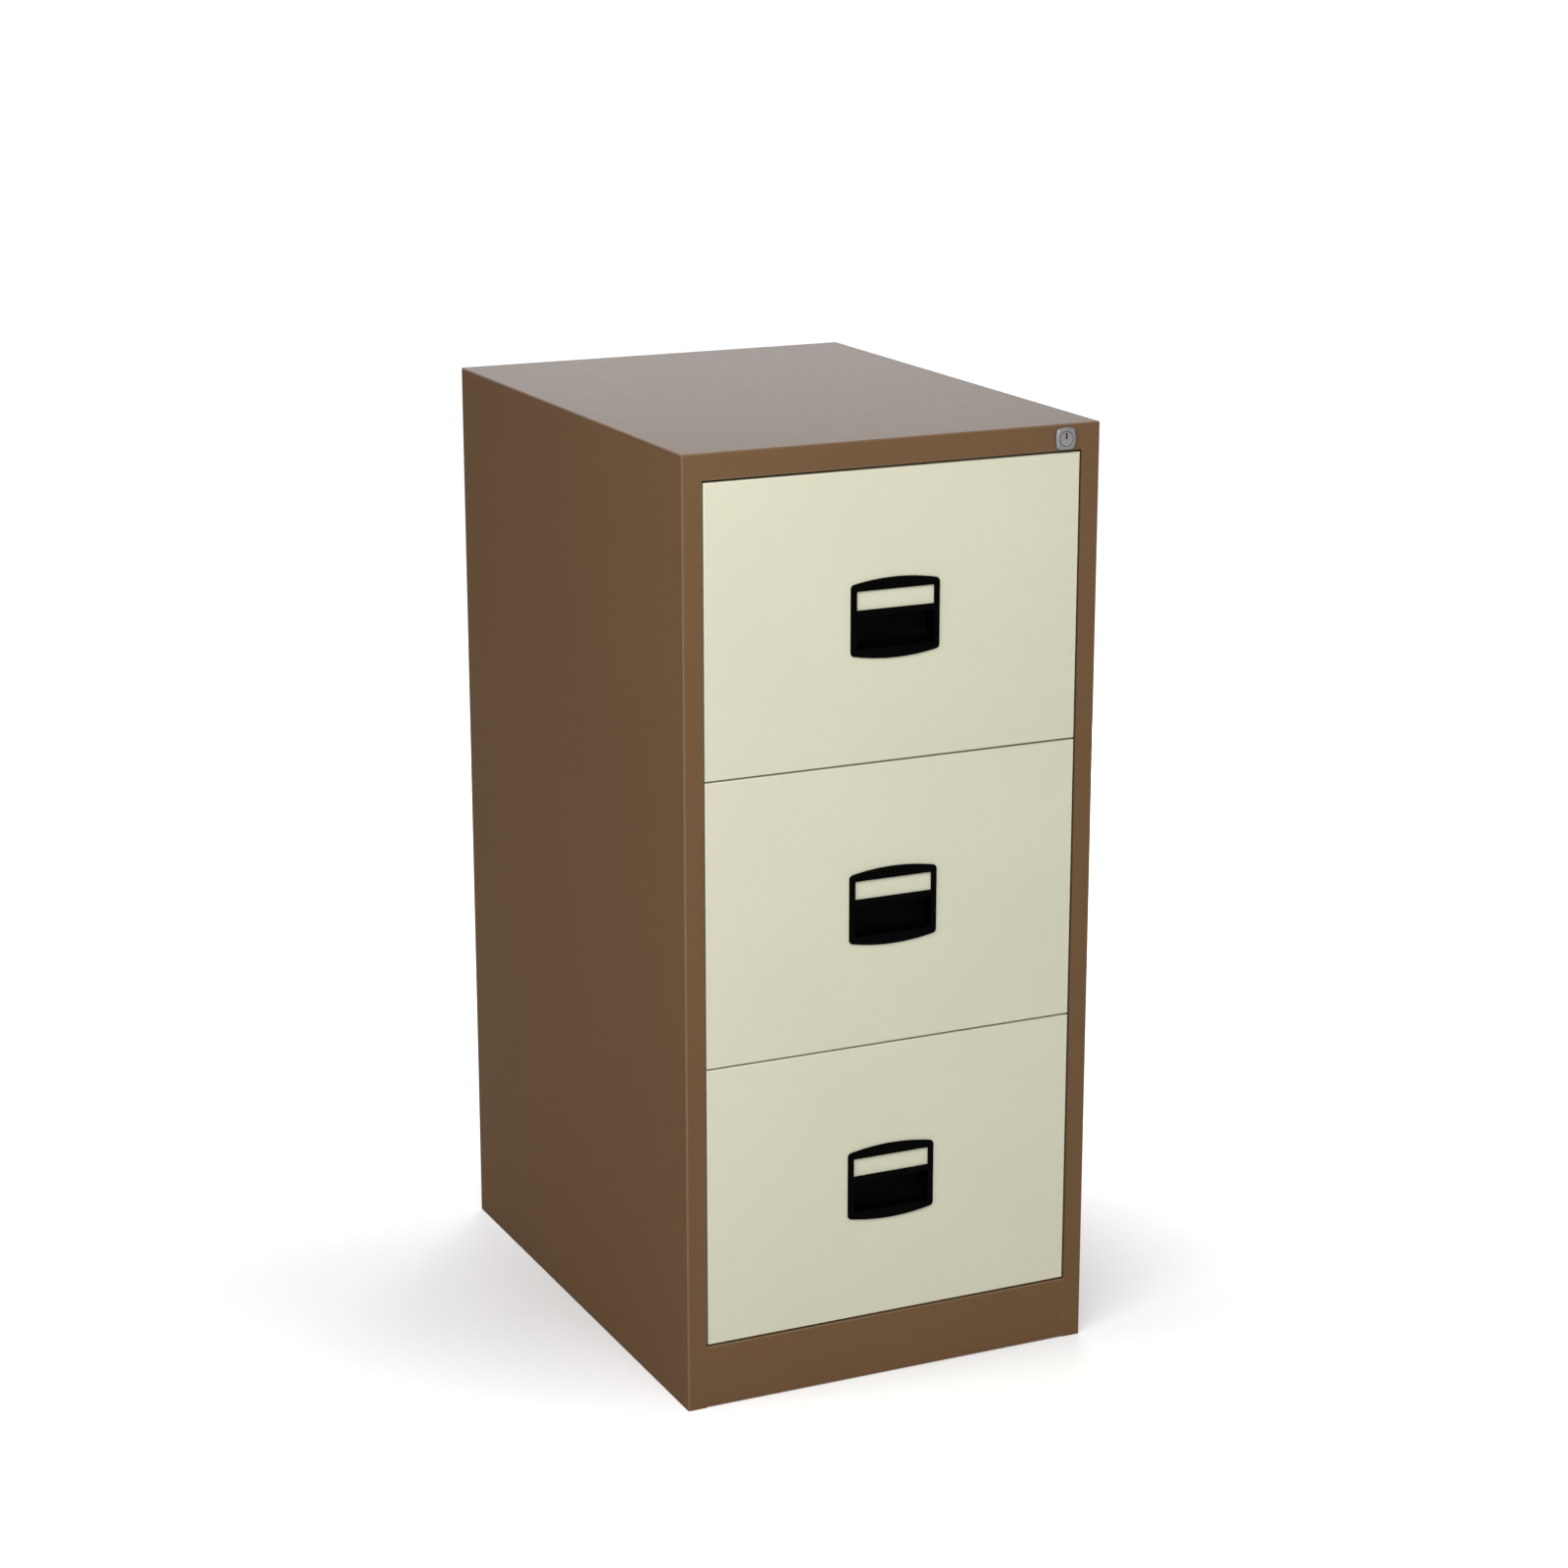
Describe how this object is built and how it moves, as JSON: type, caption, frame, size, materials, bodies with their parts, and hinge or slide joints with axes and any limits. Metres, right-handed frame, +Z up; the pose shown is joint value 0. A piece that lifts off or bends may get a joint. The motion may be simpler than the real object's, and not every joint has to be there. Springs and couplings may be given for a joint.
{
  "type": "filing cabinet",
  "caption": "Tall steel filing cabinet with deep drawers for hanging files on full-extension runners, recessed label handles and one lock that holds every drawer shut.",
  "frame": {"origin": "on the floor, under the middle of the carcass", "axes": "+Z up, -Y out of the drawer fronts, +X to the right of someone facing the drawers"},
  "size_m": [0.47, 0.626, 1.016],
  "materials": {
    "carcass_paint": "powder coat, low sheen, coffee brown",
    "drawer_paint": "powder coat, low sheen, cream",
    "runner_steel": "bright zinc plate on rolled steel",
    "cage_steel": "plain stamped steel",
    "handle_plastic": "moulded black plastic, fine satin",
    "lock_metal": "satin die-cast zinc",
    "lock_steel": "zinc plate",
    "guide_nylon": "natural nylon"
  },
  "bodies": {
    "carcass": {"left_side_panel": "carcass_paint", "right_side_panel": "carcass_paint", "top_panel": "carcass_paint", "plinth_rail": "carcass_paint", "back_panel": "carcass_paint", "base_pan": "carcass_paint", "left_front_upright": "carcass_paint", "left_rear_upright": "carcass_paint", "right_front_upright": "carcass_paint", "right_rear_upright": "carcass_paint", "lock_case": "lock_metal", "lock_nut": "lock_steel", "lock_bar_guides": "guide_nylon", "top_left_cabinet_runner": "runner_steel", "top_right_cabinet_runner": "runner_steel", "middle_left_cabinet_runner": "runner_steel", "middle_right_cabinet_runner": "runner_steel", "bottom_left_cabinet_runner": "runner_steel", "bottom_right_cabinet_runner": "runner_steel"},
    "top_drawer": {"top_drawer_front": "drawer_paint", "top_front_liner": "drawer_paint", "top_tray": "drawer_paint", "top_tray_back": "drawer_paint", "top_file_rails": "drawer_paint", "top_handle": "handle_plastic", "top_lock_strike": "lock_steel", "top_left_drawer_runner": "runner_steel", "top_right_drawer_runner": "runner_steel"},
    "top_middle_slide": {"top_middle_runners": "runner_steel"},
    "top_outer_cages": {"top_outer_ball_cages": "cage_steel"},
    "top_inner_cages": {"top_inner_ball_cages": "cage_steel"},
    "middle_drawer": {"middle_drawer_front": "drawer_paint", "middle_front_liner": "drawer_paint", "middle_tray": "drawer_paint", "middle_tray_back": "drawer_paint", "middle_file_rails": "drawer_paint", "middle_handle": "handle_plastic", "middle_lock_strike": "lock_steel", "middle_left_drawer_runner": "runner_steel", "middle_right_drawer_runner": "runner_steel"},
    "middle_middle_slide": {"middle_middle_runners": "runner_steel"},
    "middle_outer_cages": {"middle_outer_ball_cages": "cage_steel"},
    "middle_inner_cages": {"middle_inner_ball_cages": "cage_steel"},
    "bottom_drawer": {"bottom_drawer_front": "drawer_paint", "bottom_front_liner": "drawer_paint", "bottom_tray": "drawer_paint", "bottom_tray_back": "drawer_paint", "bottom_file_rails": "drawer_paint", "bottom_handle": "handle_plastic", "bottom_lock_strike": "lock_steel", "bottom_left_drawer_runner": "runner_steel", "bottom_right_drawer_runner": "runner_steel"},
    "bottom_middle_slide": {"bottom_middle_runners": "runner_steel"},
    "bottom_outer_cages": {"bottom_outer_ball_cages": "cage_steel"},
    "bottom_inner_cages": {"bottom_inner_ball_cages": "cage_steel"},
    "lock_core": {"lock_plug": "lock_metal", "lock_cam": "lock_steel"},
    "lock_bar_set": {"lock_bar": "lock_steel", "lock_bar_head": "lock_steel", "lock_hooks": "lock_steel"}
  },
  "joints": [
    {"name": "top_drawer_slide", "type": "slide", "parent": "carcass", "child": "top_drawer", "axis": [0, -1, 0], "range_m": [0, 0.551]},
    {"name": "top_middle_runner_slide", "type": "slide", "parent": "carcass", "child": "top_middle_slide", "axis": [0, -1, 0], "range_m": [0, 0.2755]},
    {"name": "top_outer_cage_slide", "type": "slide", "parent": "carcass", "child": "top_outer_cages", "axis": [0, -1, 0], "range_m": [0, 0.13775]},
    {"name": "top_inner_cage_slide", "type": "slide", "parent": "carcass", "child": "top_inner_cages", "axis": [0, -1, 0], "range_m": [0, 0.41325]},
    {"name": "middle_drawer_slide", "type": "slide", "parent": "carcass", "child": "middle_drawer", "axis": [0, -1, 0], "range_m": [0, 0.551]},
    {"name": "middle_middle_runner_slide", "type": "slide", "parent": "carcass", "child": "middle_middle_slide", "axis": [0, -1, 0], "range_m": [0, 0.2755]},
    {"name": "middle_outer_cage_slide", "type": "slide", "parent": "carcass", "child": "middle_outer_cages", "axis": [0, -1, 0], "range_m": [0, 0.13775]},
    {"name": "middle_inner_cage_slide", "type": "slide", "parent": "carcass", "child": "middle_inner_cages", "axis": [0, -1, 0], "range_m": [0, 0.41325]},
    {"name": "bottom_drawer_slide", "type": "slide", "parent": "carcass", "child": "bottom_drawer", "axis": [0, -1, 0], "range_m": [0, 0.551]},
    {"name": "bottom_middle_runner_slide", "type": "slide", "parent": "carcass", "child": "bottom_middle_slide", "axis": [0, -1, 0], "range_m": [0, 0.2755]},
    {"name": "bottom_outer_cage_slide", "type": "slide", "parent": "carcass", "child": "bottom_outer_cages", "axis": [0, -1, 0], "range_m": [0, 0.13775]},
    {"name": "bottom_inner_cage_slide", "type": "slide", "parent": "carcass", "child": "bottom_inner_cages", "axis": [0, -1, 0], "range_m": [0, 0.41325]},
    {"name": "lock_turn", "type": "hinge", "parent": "carcass", "child": "lock_core", "pos_m": [0.1935, -0.311, 1.001], "axis": [0, -1, 0], "range_deg": [0, 90]},
    {"name": "lock_bar_lift", "type": "slide", "parent": "carcass", "child": "lock_bar_set", "axis": [0, 0, 1], "range_m": [0, 0.0142]}
  ],
  "couplings": [
    {"joint": "top_middle_runner_slide", "follows": "top_drawer_slide", "ratio": 0.5},
    {"joint": "top_outer_cage_slide", "follows": "top_drawer_slide", "ratio": 0.25},
    {"joint": "top_inner_cage_slide", "follows": "top_drawer_slide", "ratio": 0.75},
    {"joint": "middle_middle_runner_slide", "follows": "middle_drawer_slide", "ratio": 0.5},
    {"joint": "middle_outer_cage_slide", "follows": "middle_drawer_slide", "ratio": 0.25},
    {"joint": "middle_inner_cage_slide", "follows": "middle_drawer_slide", "ratio": 0.75},
    {"joint": "bottom_middle_runner_slide", "follows": "bottom_drawer_slide", "ratio": 0.5},
    {"joint": "bottom_outer_cage_slide", "follows": "bottom_drawer_slide", "ratio": 0.25},
    {"joint": "bottom_inner_cage_slide", "follows": "bottom_drawer_slide", "ratio": 0.75},
    {"joint": "lock_turn", "follows": "lock_bar_lift", "rad_per_m": 110.62}
  ]
}
